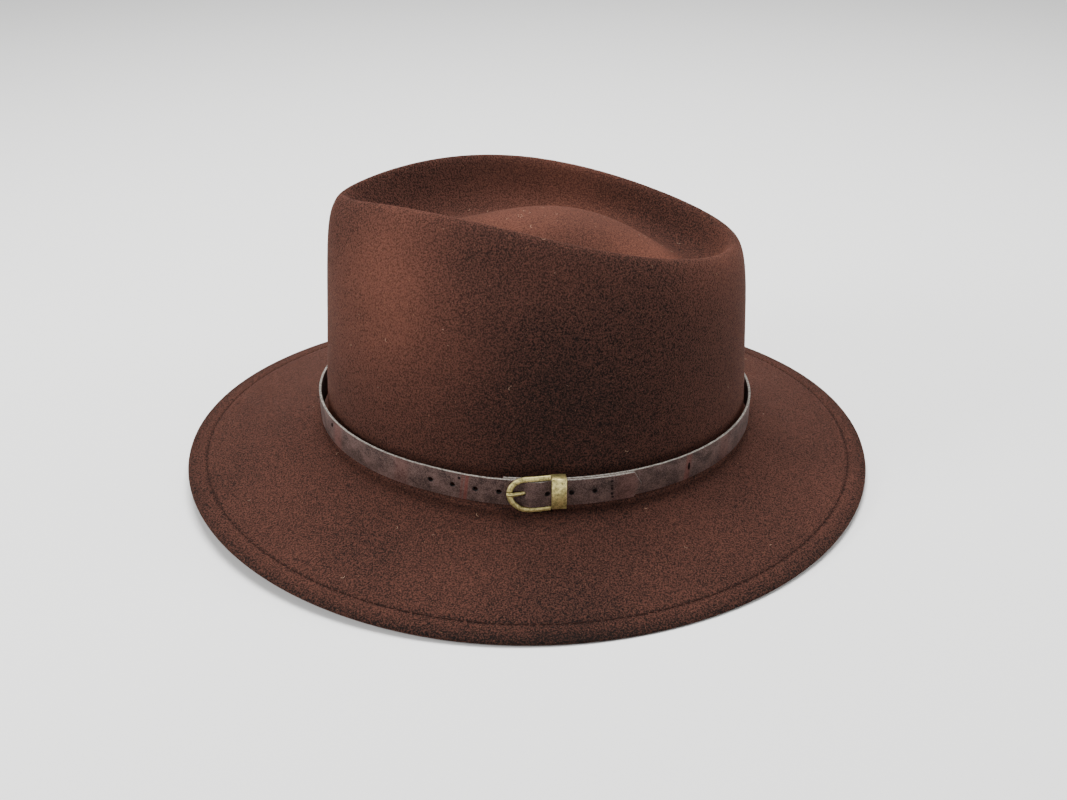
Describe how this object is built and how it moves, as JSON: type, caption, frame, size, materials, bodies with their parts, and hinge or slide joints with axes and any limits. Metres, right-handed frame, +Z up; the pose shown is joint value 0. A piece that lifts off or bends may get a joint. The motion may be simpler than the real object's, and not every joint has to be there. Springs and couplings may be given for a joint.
{
  "type": "felt hat",
  "caption": "Wide-brimmed felt hat with a teardrop crown, a stitched brim edge and a thin buckled leather hatband.",
  "frame": {"origin": "on the surface the hat rests on, under the middle of the brim", "axes": "+Z up, -Y towards the front of the hat, +X towards the wearer's left, where the buckle is"},
  "size_m": [0.3084, 0.3386, 0.1411],
  "materials": {
    "felt": "matt pressed wool felt, dark reddish brown",
    "leather": "satin, dark purplish brown with pale raw edges",
    "brass": "antique brass, brushed and darkened"
  },
  "bodies": {
    "root": {"felt_body": "felt", "hatband": "leather", "buckle_frame": "brass", "buckle_prong": "brass", "keeper": "brass"}
  },
  "joints": []
}
